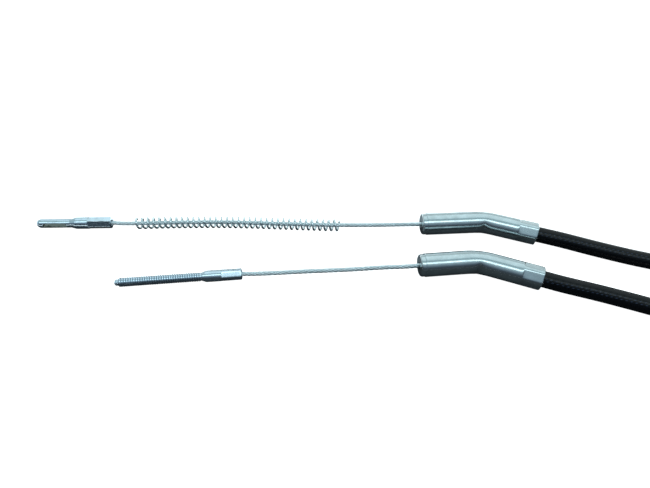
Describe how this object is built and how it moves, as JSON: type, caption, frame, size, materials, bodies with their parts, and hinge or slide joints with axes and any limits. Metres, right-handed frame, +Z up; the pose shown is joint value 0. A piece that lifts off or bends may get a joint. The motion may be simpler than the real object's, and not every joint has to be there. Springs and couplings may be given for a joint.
{
  "type": "parking brake cable",
  "caption": "Bowden parking brake cable lying flat: bent crimped ferrules on a black conduit, a threaded stud at one end, a return spring and a slotted eye at the other.",
  "frame": {"origin": "middle of the box of the two cable ends without the conduit, on the surface that the cable lies on", "axes": "+X along the cable ends, from the eye towards the conduit; +Y from the lever end towards the wheel end; +Z up"},
  "size_m": [0.5694, 0.1353, 0.0155],
  "materials": {
    "zinc_plate": "bright bluish zinc plating, polished by crimping and bending",
    "rope_steel": "drawn zinc coated strands",
    "spring_steel": "bright drawn spring wire",
    "jacket_black": "black extruded plastic with a satin sheen",
    "liner_white": "smooth low friction plastic"
  },
  "bodies": {
    "conduit": {"conduit_jacket": "jacket_black", "conduit_armour": "rope_steel", "conduit_liner": "liner_white", "conduit_rope": "rope_steel", "wheel_ferrule": "zinc_plate", "lever_ferrule": "zinc_plate"},
    "lever_core": {"lever_rope": "rope_steel", "threaded_stud": "zinc_plate"},
    "wheel_core": {"wheel_rope": "rope_steel", "slotted_eye": "zinc_plate", "return_spring": "spring_steel"}
  },
  "joints": [
    {"name": "lever_pull", "type": "slide", "parent": "conduit", "child": "lever_core", "axis": [-0.996, -0.0894, 0], "range_m": [0, 0.03]},
    {"name": "wheel_draw", "type": "slide", "parent": "conduit", "child": "wheel_core", "axis": [0.9997, 0.0262, 0], "range_m": [0, 0.03]}
  ],
  "couplings": [
    {"joint": "wheel_draw", "follows": "lever_pull", "ratio": 1}
  ]
}
